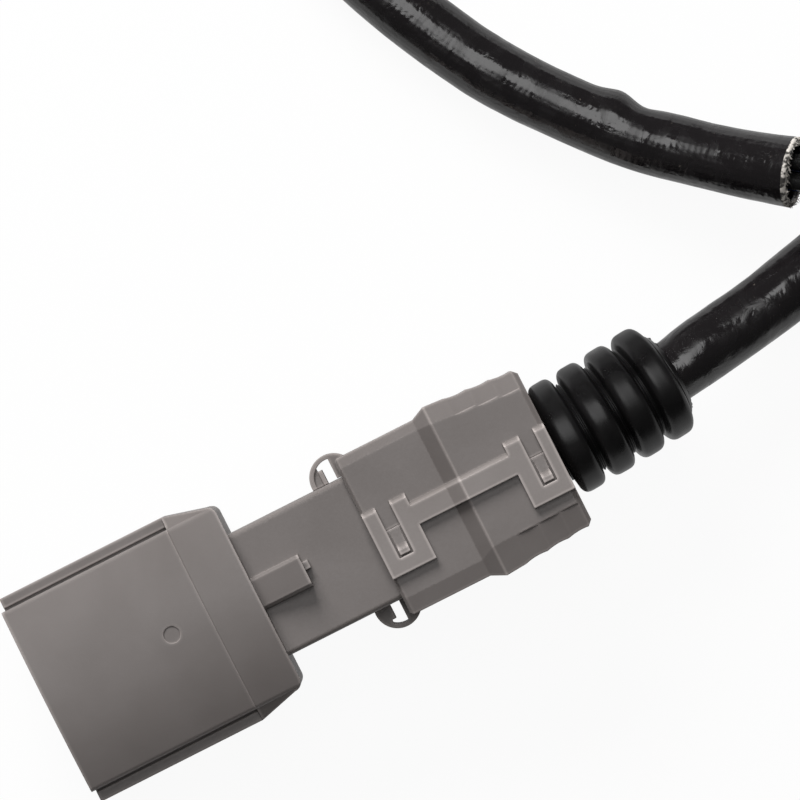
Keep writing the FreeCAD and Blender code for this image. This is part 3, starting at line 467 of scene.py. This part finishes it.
def ridge_highlight_share(tree):
    """Where the ridge's painted highlight lies: 1 along the ridge behind the covers' ramp, and 0
    beside it.
    """
    place = add(tree, "SeparateXYZ", Vector=object_place(tree))
    aside = calc(tree, "ABSOLUTE", calc(tree, "SUBTRACT", place.outputs[0], COVER_RAMP[1] * MM))
    return spread(tree, aside, 1.0, 0.0, RIDGE_HIGHLIGHT_BLEND[0] * MM, RIDGE_HIGHLIGHT_BLEND[1] * MM)


def grey_plastic(name, cover=False):
    """Moulded warm grey plastic: faint clouds, a fine grain and a painted highlight along its edges;
    the covers' version also has painted highlights on the latch plate and on the ridge.
    """
    mat, tree, shader = new_material(name)
    place = object_place(tree)
    cloud = noise_at(tree, place, scale=110.0, detail=4.0, distortion=0.4)
    grain = noise_at(tree, place, scale=4200.0)
    colour = ramp(tree, cloud, (0.32, PLASTIC_DARK), (0.68, PLASTIC_LIGHT))
    inside = add(tree, "AmbientOcclusion", {"inside": True, "only_local": True, "samples": 8},
                 Distance=EDGE_HIGHLIGHT_WIDTH * MM)
    # Painted highlight: convex edges, found by the inward ambient occlusion, are made paler to stand
    # in for the light that rounded edges catch
    edge_highlight = spread(tree, inside.outputs["AO"], 1.0, 0.0, start=0.55, end=1.0)
    colour = paler(tree, colour, edge_highlight, EDGE_HIGHLIGHT_GAIN)
    if cover:
        # Painted highlight: the raised latch plate is made paler to stand in for the light it catches
        colour = paler(tree, colour, plate_highlight_share(tree), PLATE_HIGHLIGHT_GAIN)
        # Painted highlight: a pale line along the ridge behind the ramp stands in for the glint of
        # light on that edge
        colour = paler(tree, colour, ridge_highlight_share(tree), RIDGE_HIGHLIGHT_GAIN)
    finish(tree, shader, Base_Color=colour, Roughness=spread(tree, grain, 0.40, 0.52), IOR=1.5)
    edges = add(tree, "Bevel", {"samples": 8}, Radius=EDGE_RADIUS * MM)
    clouded = bump(tree, shader, cloud, depth=0.06, strength=0.25, under=edges.outputs[0])
    bump(tree, shader, grain, depth=0.012, strength=0.5, under=clouded)
    return mat


def retainer_plastic():
    """The paler plastic of the plate behind the blades."""
    mat, tree, shader = new_material("retainer_plastic")
    grain = noise_at(tree, object_place(tree), scale=3000.0)
    colour = ramp(tree, grain, (0.3, RETAINER_DARK), (0.7, RETAINER_LIGHT))
    finish(tree, shader, Base_Color=colour, Roughness=spread(tree, grain, 0.42, 0.55))
    bump(tree, shader, grain, depth=0.012, strength=0.5)
    return mat


def rubber(name, colour, smooth=0.24, rough=0.40):
    """Moulded rubber: dark, silky, with a trace of dust and flow marks."""
    mat, tree, shader = new_material(name)
    place = object_place(tree)
    cloud = noise_at(tree, place, scale=260.0, detail=4.0, distortion=0.6)
    grain = noise_at(tree, place, scale=5200.0)
    dusty = tuple(channel * 1.9 + 0.002 for channel in colour)
    tint = ramp(tree, cloud, (0.35, colour), (0.85, dusty))
    finish(tree, shader, Base_Color=tint, Roughness=spread(tree, cloud, smooth, rough))
    finish(tree, shader, Specular_IOR_Level=0.46)
    clouded = bump(tree, shader, cloud, depth=0.05, strength=0.35)
    bump(tree, shader, grain, depth=0.01, strength=0.45, under=clouded)
    return mat


def woven_height(tree):
    """A fine diagonal braid over the UV map's millimetres, plainer near the boot."""
    uv = add(tree, "SeparateXYZ", Vector=add(tree, "UVMap").outputs[0])
    turn = 2 * math.pi / WEAVE_PITCH
    waves = []
    for sign in (1.0, -1.0):
        line = calc(tree, "ADD", uv.outputs[0], calc(tree, "MULTIPLY", uv.outputs[1], sign))
        waves.append(calc(tree, "SINE", calc(tree, "MULTIPLY", line, turn)))
    share = spread(tree, uv.outputs[0], 0.2, 1.0, start=40.0, end=200.0)
    return calc(tree, "MULTIPLY", calc(tree, "MULTIPLY", waves[0], waves[1]), share)


def lacquered_sleeve():
    """Black lacquer over woven glass fibre: the braid shows, and the gloss is patchy."""
    mat, tree, shader = new_material("sleeve_black")
    place = object_place(tree)
    weave = woven_height(tree)
    patch = noise_at(tree, place, scale=170.0, detail=5.0, distortion=1.2)
    blotch = noise_at(tree, place, scale=420.0, detail=3.0, distortion=0.8)
    speck = noise_at(tree, place, scale=1500.0)
    worn_patch = spread(tree, patch, 0.0, 1.0, start=0.62, end=0.72)
    worn_crest = spread(tree, weave, 0.0, 1.0, start=0.2, end=0.9)
    worn = calc(tree, "MULTIPLY", calc(tree, "MULTIPLY", worn_patch, worn_crest), 0.05)
    fleck = spread(tree, speck, 0.0, 0.5, start=0.72, end=0.8)
    share = calc(tree, "MINIMUM", calc(tree, "ADD", worn, fleck), 1.0)
    colour = ramp(tree, share, (0.0, LACQUER), (1.0, LACQUER_WORN))
    gloss = spread(tree, blotch, 0.13, 0.30, start=0.42, end=0.60)
    finish(tree, shader, Base_Color=colour, Roughness=gloss, Specular_IOR_Level=0.85)
    woven = bump(tree, shader, weave, depth=0.014, strength=0.6)
    patched = bump(tree, shader, patch, depth=0.30, strength=0.5, under=woven)
    blotched = bump(tree, shader, blotch, depth=0.16, strength=0.6, under=patched)
    bump(tree, shader, speck, depth=0.01, strength=0.3, under=blotched)
    return mat


def glass_fibre():
    """The sleeve's bare glass fibre where it is cut."""
    mat, tree, shader = new_material("glass_fibre")
    strand = noise_at(tree, object_place(tree), scale=1900.0, detail=3.0)
    colour = ramp(tree, strand, (0.44, times(FIBRE, 0.08)), (0.56, FIBRE))
    finish(tree, shader, Base_Color=colour, Roughness=spread(tree, strand, 0.45, 0.7))
    bump(tree, shader, strand, depth=0.08, strength=0.6)
    return mat


def wire_skin(name, colour):
    """Smooth extruded insulation with faint draw lines."""
    mat, tree, shader = new_material(name)
    cloud = noise_at(tree, object_place(tree), scale=420.0, detail=3.0)
    pale = tuple(min(channel * 1.15 + 0.004, 1.0) for channel in colour)
    tint = ramp(tree, cloud, (0.35, colour), (0.7, pale))
    finish(tree, shader, Base_Color=tint, Roughness=spread(tree, cloud, 0.2, 0.32))
    bump(tree, shader, cloud, depth=0.04, strength=0.3)
    return mat


def metal(name, colour, rough, stretch=(1.0, 1.0, 1.0), stain=None):
    """Drawn or turned metal: fine lines along one direction, and stains where asked."""
    mat, tree, shader = new_material(name)
    lines = noise_at(tree, object_place(tree, stretch), scale=900.0, detail=4.0)
    cloud = noise_at(tree, object_place(tree), scale=120.0, detail=4.0, distortion=0.8)
    tint = ramp(tree, lines, (0.3, times(colour, 0.82)), (0.7, colour))
    if stain is not None:
        mixed = add(tree, "Mix", {"data_type": "RGBA"})
        plug(tree, mixed, 0, spread(tree, cloud, 0.0, 0.75, start=0.42, end=0.68))
        plug(tree, mixed, 6, tint)
        plug(tree, mixed, 7, (*stain, 1.0))
        tint = mixed.outputs[2]
    finish(tree, shader, Base_Color=tint, Metallic=1.0)
    finish(tree, shader, Roughness=spread(tree, cloud, rough - 0.06, rough + 0.1))
    bump(tree, shader, lines, depth=0.018, strength=0.5)
    return mat


def ceramic(name, colour, rough):
    """Fired ceramic, pressed powder or porous filter: pale, with a fine grain."""
    mat, tree, shader = new_material(name)
    grain = noise_at(tree, object_place(tree), scale=2200.0, detail=4.0)
    tint = ramp(tree, grain, (0.35, times(colour, 0.9)), (0.65, colour))
    finish(tree, shader, Base_Color=tint, Roughness=spread(tree, grain, rough - 0.08, rough + 0.08))
    bump(tree, shader, grain, depth=0.02, strength=0.6)
    return mat


MATERIALS = {
    "grey_plastic": grey_plastic("grey_plastic"),
    "retainer_plastic": retainer_plastic(),
    "boot_rubber": rubber("boot_rubber", RUBBER),
    "seal_rubber": rubber("seal_rubber", (0.20, 0.05, 0.02), smooth=0.4, rough=0.55),
    "grommet_rubber": rubber("grommet_rubber", (0.012, 0.012, 0.012), smooth=0.45, rough=0.6),
    "sleeve_black": lacquered_sleeve(),
    "wire_black": wire_skin("wire_black", (0.008, 0.008, 0.008)),
    "wire_blue": wire_skin("wire_blue", (0.014, 0.07, 0.30)),
    "wire_white": wire_skin("wire_white", (0.70, 0.68, 0.64)),
    "shell_steel": metal("shell_steel", (0.58, 0.56, 0.52), rough=0.28, stretch=(0.08, 1.0, 1.0),
                         stain=(0.42, 0.37, 0.30)),
    "gasket_steel": metal("gasket_steel", (0.62, 0.58, 0.50), rough=0.30, stretch=(1.0, 0.2, 0.2)),
    "tube_steel": metal("tube_steel", (0.60, 0.57, 0.52), rough=0.24, stretch=(0.06, 1.0, 1.0),
                        stain=(0.40, 0.33, 0.24)),
    "casing_steel": metal("casing_steel", (0.66, 0.65, 0.63), rough=0.20, stretch=(0.06, 1.0, 1.0)),
    "contact_metal": metal("contact_metal", (0.66, 0.60, 0.48), rough=0.28),
    "terminal_tin": metal("terminal_tin", (0.72, 0.71, 0.69), rough=0.26),
    "white_ceramic": ceramic("white_ceramic", (0.80, 0.78, 0.73), rough=0.42),
    "talc": ceramic("talc", (0.66, 0.64, 0.60), rough=0.75),
    "filter_white": ceramic("filter_white", (0.82, 0.82, 0.80), rough=0.8),
}
GLASS_FIBRE = glass_fibre()
COVER_PLASTIC = grey_plastic("grey_plastic_cover", cover=True)


def stand_for(obj, node):
    """Ties a finished piece to the node that it replaces."""
    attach(obj, "root")
    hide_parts(node)


# Connector and other rigid pieces

def joined_faces(node):
    """A node's mesh with its points welded and its flat faces whole again."""
    bm = bmesh.new()
    bm.from_mesh(NODES[node].data)
    bmesh.ops.remove_doubles(bm, verts=bm.verts, dist=WELD * MM)
    bmesh.ops.dissolve_limit(bm, angle_limit=math.radians(FLAT_ANGLE), verts=bm.verts, edges=bm.edges)
    return bm


def applied(obj):
    """Makes the result of an object's modifiers its own mesh."""
    graph = bpy.context.evaluated_depsgraph_get()
    result = bpy.data.meshes.new_from_object(obj.evaluated_get(graph))
    obj.modifiers.clear()
    obj.data = result


def softened(name, bm, width, mat):
    """A smooth object whose sharp edges are rounded by a width in millimetres."""
    obj = mesh_object(name, bm, mat)
    rounding = obj.modifiers.new("rounding", "BEVEL")
    rounding.width = width * MM
    rounding.segments = 2
    rounding.limit_method = "ANGLE"
    rounding.angle_limit = math.radians(SHARP_ANGLE)
    rounding.use_clamp_overlap = False
    applied(obj)
    weights = obj.modifiers.new("weights", "WEIGHTED_NORMAL")
    weights.keep_sharp = False
    applied(obj)
    return obj


def dressed(node, slot, width):
    """A node's own shape with soft edges, which takes its place."""
    obj = softened(node + "_skin", joined_faces(node), width, MATERIALS[slot])
    stand_for(obj, node)


def thread_radius(x, turn, start, end):
    """The thread's surface at a place along and round the nose, in millimetres."""
    phase = ((x - start) / THREAD_PITCH - turn) % 1.0
    off_crest = abs(phase - 0.5) * 2.0
    groove = min(max((off_crest - THREAD_CREST) / THREAD_FLANKS, 0.0), 1.0)
    fade = min((x - start) / THREAD_RUNOUT, 1.0)
    radius = THREAD_R - THREAD_DEPTH * groove * fade
    return min(radius, THREAD_R - max(0.0, x - (end - NOSE_CHAMFER)))


def nose_faces(bm, axis_z):
    """The faces of the shell's plain cylinder that the thread takes the place of."""
    reach = THREAD_R * MM
    near = NOSE_TOLERANCE * MM
    faces = []
    for face in bm.faces:
        radii = [math.hypot(v.co.y, v.co.z - axis_z) for v in face.verts]
        round_nose = min(radii) > reach - near and max(radii) < reach + near
        if round_nose and face.calc_center_median().x > NOSE_FROM * MM:
            faces.append(face)
    return faces


def sensor_shell():
    """The sensor's shell with its thread cut into the plain nose."""
    low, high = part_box("sensor_shell")
    bm = joined_faces("sensor_shell")
    axis_z = (low[2] + high[2]) / 2
    end = high[0] / MM
    nose = nose_faces(bm, axis_z)
    places = [v.co.x / MM for face in nose for v in face.verts]
    start = min(places)
    stop = max(places)
    bmesh.ops.delete(bm, geom=nose, context="FACES")
    obj = softened("sensor_shell_skin", bm, SHELL_EDGE, MATERIALS["shell_steel"])
    stand_for(obj, "sensor_shell")
    thread = bmesh.new()
    side = Vector((0, 1, 0))
    up = Vector((0, 0, 1))
    rings = []
    for i in range(THREAD_ROWS + 1):
        x = start + (stop - start) * i / THREAD_ROWS
        turns = [k / THREAD_AROUND for k in range(THREAD_AROUND)]
        radii = [thread_radius(x, turn, start, end) * MM for turn in turns]
        rings.append(ring_of(thread, Vector((x * MM, 0, axis_z)), side, up, radii))
    join_rings(thread, rings)
    skin = mesh_object("thread_skin", thread, MATERIALS["shell_steel"])
    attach(skin, "root")


def boot_radius(s, total):
    """The boot's radius at a distance from the covers, in millimetres."""
    for i in range(BOOT_RINGS):
        t = abs(s - BOOT_RING_FIRST - i * BOOT_RING_PITCH) / BOOT_RING_HALF
        if t < 1.0:
            return BOOT_VALLEY_R + (BOOT_RING_R - BOOT_VALLEY_R) * (1.0 - t ** BOOT_ROUNDNESS) ** 0.5
    last = BOOT_RING_FIRST + (BOOT_RINGS - 1) * BOOT_RING_PITCH + BOOT_RING_HALF
    if s > last:
        share = min((s - last) / (total - last), 1.0)
        return BOOT_CONE_R + (BOOT_COLLAR_R - BOOT_CONE_R) * share
    if s < BOOT_RING_FIRST:
        return BOOT_NECK_R
    valley = math.floor((s - BOOT_RING_FIRST) / BOOT_RING_PITCH) + 0.5
    middle = BOOT_RING_FIRST + BOOT_RING_PITCH * valley
    return BOOT_VALLEY_R + BOOT_LIP * max(0.0, 1.0 - ((s - middle) / BOOT_LIP_HALF) ** 2)


def boot():
    """The rubber boot: four fat rings, a fine lip in each valley, and a worn collar."""
    points, distances = even_points(read_line(BOOT_AXIS), BOOT_STEP * MM)
    frames = frames_along(points)
    total = distances[-1] / MM

    def radius_at(s, angle):
        height, around, along = BOOT_UNEVEN
        place = Vector((math.cos(angle) * around, math.sin(angle) * around, s * along))
        return boot_radius(s, total) + height * noise.noise(place)

    bm = bmesh.new()
    rings = rings_along(bm, (points, distances, frames), BOOT_AROUND, radius_at)
    heading, side, up = frames[-1]
    for k, vert in enumerate(rings[-1]):
        wander = sum(share * noise.noise(Vector((k * waves, *place)))
                     for share, waves, place in BOOT_WANDER)
        vert.co += heading * wander * BOOT_RAGGED * MM
    mouth = points[-1] + heading * BOOT_MOUTH_INSET * MM
    inside = ring_of(bm, mouth, side, up, [BOOT_MOUTH_R * MM] * BOOT_AROUND)
    _, side, up = frames[0]
    first = ring_of(bm, points[0], side, up, [BOOT_START_R * MM] * BOOT_AROUND)
    join_rings(bm, [first] + rings + [inside])
    obj = mesh_object("boot_skin", bm, MATERIALS["boot_rubber"])
    stand_for(obj, "boot")


# The lead

def swelling(s, total, angle):
    """How far the sleeve's surface stands out or in at a place, in millimetres."""
    height = 0.0
    for swells, distance in ((SWELLS_FROM_BOOT, s), (SWELLS_FROM_END, total - s)):
        for place, turn, amount, length in swells:
            along = (distance - place) / length
            if abs(along) < SWELL_REACH:
                facing = max(0.0, math.cos(angle - math.radians(turn)))
                height += amount * math.exp(-along * along) * facing ** SWELL_FOCUS
    flare = max(0.0, 1.0 - (total - s) / FLARE_LENGTH)
    height += FLARE * flare ** FLARE_CURVE
    for amount, along, around, offset in CREEPS:
        place = Vector((s * along, math.cos(angle) * around, math.sin(angle) * around + offset))
        height += amount * noise.noise(place)
    return height


def sleeve():
    """The sleeve as a tube of mesh along its route, with its inner wall and its cut end."""
    points, distances = even_points(read_line(SLEEVE_ROUTE), SLEEVE_STEP * MM)
    frames = frames_along(points)
    total = distances[-1] / MM

    def off_floor(angle):
        return 1.0 - max(0.0, -math.sin(angle))

    def outer_radius(s, angle):
        return SLEEVE_R + swelling(s, total, angle) * off_floor(angle)

    def inner_radius(s, angle):
        swell = max(0.0, swelling(s, total, angle)) * INNER_FOLLOWS
        return SLEEVE_R - SLEEVE_WALL + swell * off_floor(angle)

    bm = bmesh.new()
    uv = bm.loops.layers.uv.new("millimetres")
    line = (points, distances, frames)
    outer = rings_along(bm, line, SLEEVE_AROUND, outer_radius)
    inner = rings_along(bm, line, SLEEVE_AROUND, inner_radius)
    along = [distance / MM for distance in distances]
    girth = round(2 * math.pi * SLEEVE_R / WEAVE_PITCH) * WEAVE_PITCH
    join_rings(bm, outer, uv, along, girth)
    fibre_faces = list(bm.faces)[-SLEEVE_AROUND:]
    join_rings(bm, inner, uv, along, girth)
    walls = len(bm.faces)
    join_rings(bm, [outer[0], inner[0]])
    join_rings(bm, [outer[-1], inner[-1]])
    fibre_faces += list(bm.faces)[walls:]
    for face in fibre_faces:
        face.material_index = 1
    obj = mesh_object("sleeve_skin", bm, MATERIALS["sleeve_black"], GLASS_FIBRE)
    stand_for(obj, "sleeve")
    return obj, points, distances[-1], frames[-1]


def frayed_end(centre, heading, side, up):
    """Short loose strands of glass fibre round the sleeve's cut end."""
    rng = random.Random(FRAY_SEED)
    bm = bmesh.new()
    for i in range(FRAY_STRANDS):
        angle = 2 * math.pi * (i + rng.uniform(-FRAY_SHIFT, FRAY_SHIFT)) / FRAY_STRANDS
        out = side * math.cos(angle) + up * math.sin(angle)
        across = heading.cross(out)
        radius = rng.uniform(SLEEVE_R - SLEEVE_WALL + FRAY_INSET, SLEEVE_R + FRAY_PROUD) * MM
        root = centre + out * radius - heading * rng.uniform(*FRAY_ROOT) * MM
        lean = heading * rng.uniform(*FRAY_FORWARD) + out * rng.uniform(*FRAY_OUTWARD)
        lean += across * rng.choice((-1, 1)) * FRAY_SIDEWAYS
        lean.normalize()
        length = rng.uniform(*FRAY_LENGTH) * MM
        thick = rng.uniform(*FRAY_THICK) * MM
        curl = out * rng.uniform(*FRAY_CURL) * MM
        flat = lean.cross(out).normalized()
        tall = flat.cross(lean)
        rings = []
        for step in range(FRAY_RINGS):
            share = step / (FRAY_RINGS - 1)
            middle = root + lean * length * share + curl * share * share
            radii = [thick * (1.0 - FRAY_TAPER * share)] * FRAY_SIDES
            rings.append(ring_of(bm, middle, flat, tall, radii))
        join_rings(bm, rings)
    obj = mesh_object("sleeve_fray", bm, GLASS_FIBRE)
    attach(obj, "root")
    return obj


def wires():
    """The four wires, each along its own route."""
    route = WIRE_START + [p + (WIRE_SPREAD,) for p in SLEEVE_ROUTE[1:-1]] + WIRE_FINISH
    made = []
    for name, (side, up) in zip(WIRE_NAMES, PIN_PLACES):
        points = beside(route, side, up)
        data = route_curve(name + "_skin", points)
        data.bevel_depth = WIRE_R * MM
        data.bevel_resolution = 5
        obj = new_object(name + "_skin", data)
        slot = "wire_" + name.split("_")[1]
        data.materials.append(MATERIALS[slot])
        stand_for(obj, name)
        line = read_line(points)
        length = sum((b - a).length for a, b in zip(line, line[1:]))
        made.append((obj, length))
    return made


# Surroundings

def floor():
    """A white floor that keeps a faint shadow and looks dimmer in reflections."""
    bpy.ops.mesh.primitive_plane_add(size=FLOOR_SIZE, location=(0, 0, 0))
    obj = bpy.context.object
    obj.name = "floor"
    mat, tree, shader = new_material("floor")
    finish(tree, shader, Base_Color=(FLOOR_WHITE, FLOOR_WHITE, FLOOR_WHITE, 1.0), Roughness=0.9)
    finish(tree, shader, Specular_IOR_Level=0.0)
    rays = add(tree, "LightPath").outputs
    seen = calc(tree, "MAXIMUM", rays["Is Camera Ray"], rays["Is Glossy Ray"])
    seen = calc(tree, "MAXIMUM", seen, rays["Is Transmission Ray"])
    dimmed = calc(tree, "MULTIPLY", rays["Is Glossy Ray"], 1.0 - MIRRORED_FLOOR)
    glow = add(tree, "Emission", Strength=calc(tree, "SUBTRACT", 1.0, dimmed))
    mix = add(tree, "MixShader", Fac=calc(tree, "MULTIPLY", seen, 1.0 - SHADOW_SHARE))
    tree.links.new(shader.outputs[0], mix.inputs[1])
    tree.links.new(glow.outputs[0], mix.inputs[2])
    tree.links.new(mix.outputs[0], tree.nodes["Material Output"].inputs["Surface"])
    obj.data.materials.append(mat)


def area_lamp(name, place, size, power):
    """A square lamp that looks at the middle of the picture."""
    lamp = bpy.data.lights.new(name, "AREA")
    lamp.size = size
    lamp.energy = power
    obj = new_object(name, lamp)
    obj.location = Vector((VIEW_X, VIEW_Y, 0)) + Vector(place)
    obj.rotation_euler = Vector(place).to_track_quat("Z", "Y").to_euler()
    return obj


def lights():
    """The plain world and the two lamps, of which the gloss shows only the upper one."""
    world = bpy.data.worlds.new("world")
    bpy.context.scene.world = world
    world.use_nodes = True
    background = world.node_tree.nodes["Background"]
    background.inputs["Color"].default_value = (1, 1, 1, 1)
    background.inputs["Strength"].default_value = WORLD_LIGHT
    key = area_lamp("key", KEY_PLACE, KEY_SIZE, KEY_POWER)
    key.visible_glossy = False
    area_lamp("top", TOP_PLACE, TOP_SIZE, TOP_POWER)


# Pieces with rounded edges: node, material and the rounding's width in millimetres
DRESSED = [
    ("terminal_retainer", "retainer_plastic", 0.1), ("gasket", "gasket_steel", 0.35),
    ("outer_protection_tube", "tube_steel", 0.06), ("rear_casing", "casing_steel", 0.1),
    ("filter_cover", "casing_steel", 0.1), ("grommet", "grommet_rubber", 0.1)]

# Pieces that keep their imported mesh, and their material
STAYING = {
    "connector_housing": "grey_plastic", "inner_protection_tube": "tube_steel",
    "sensing_element": "white_ceramic", "heater_rod": "white_ceramic", "seat_ring": "gasket_steel",
    "powder_packing": "talc", "insulator_sleeve": "white_ceramic", "vent_filter": "filter_white",
    "contact_separator": "white_ceramic"}
for number in range(1, 5):
    STAYING["contact_%d" % number] = "contact_metal"
    STAYING["male_terminal_%d" % number] = "terminal_tin"
    STAYING["wire_seal_%d" % number] = "seal_rubber"
STAYING_MATERIALS = {node: MATERIALS[slot] for node, slot in STAYING.items()}
for node in ("rear_cover_left", "rear_cover_right"):
    STAYING_MATERIALS[node] = COVER_PLASTIC

camera()
for node, slot, width in DRESSED:
    dressed(node, slot, width)
sensor_shell()
boot()
for node, mat in STAYING_MATERIALS.items():
    for place in NODES[node].material_slots:
        place.material = mat

sleeve_skin, sleeve_line, sleeve_length, (end_heading, end_side, end_up) = sleeve()
fray = frayed_end(sleeve_line[-1], end_heading, end_side, end_up)
plug_pieces = [NODES[node] for node in ("connector_housing", "rear_cover_left", "rear_cover_right")]
plug_pieces += [bpy.data.objects[name] for name in ("terminal_retainer_skin", "boot_skin")]
for number, (obj, length) in enumerate(wires(), start=1):
    pieces = [NODES["male_terminal_%d" % number], NODES["wire_seal_%d" % number]]
    if number == 1:
        pieces += plug_pieces
floor()
lights()
bpy.context.scene.view_settings.view_transform = "Standard"
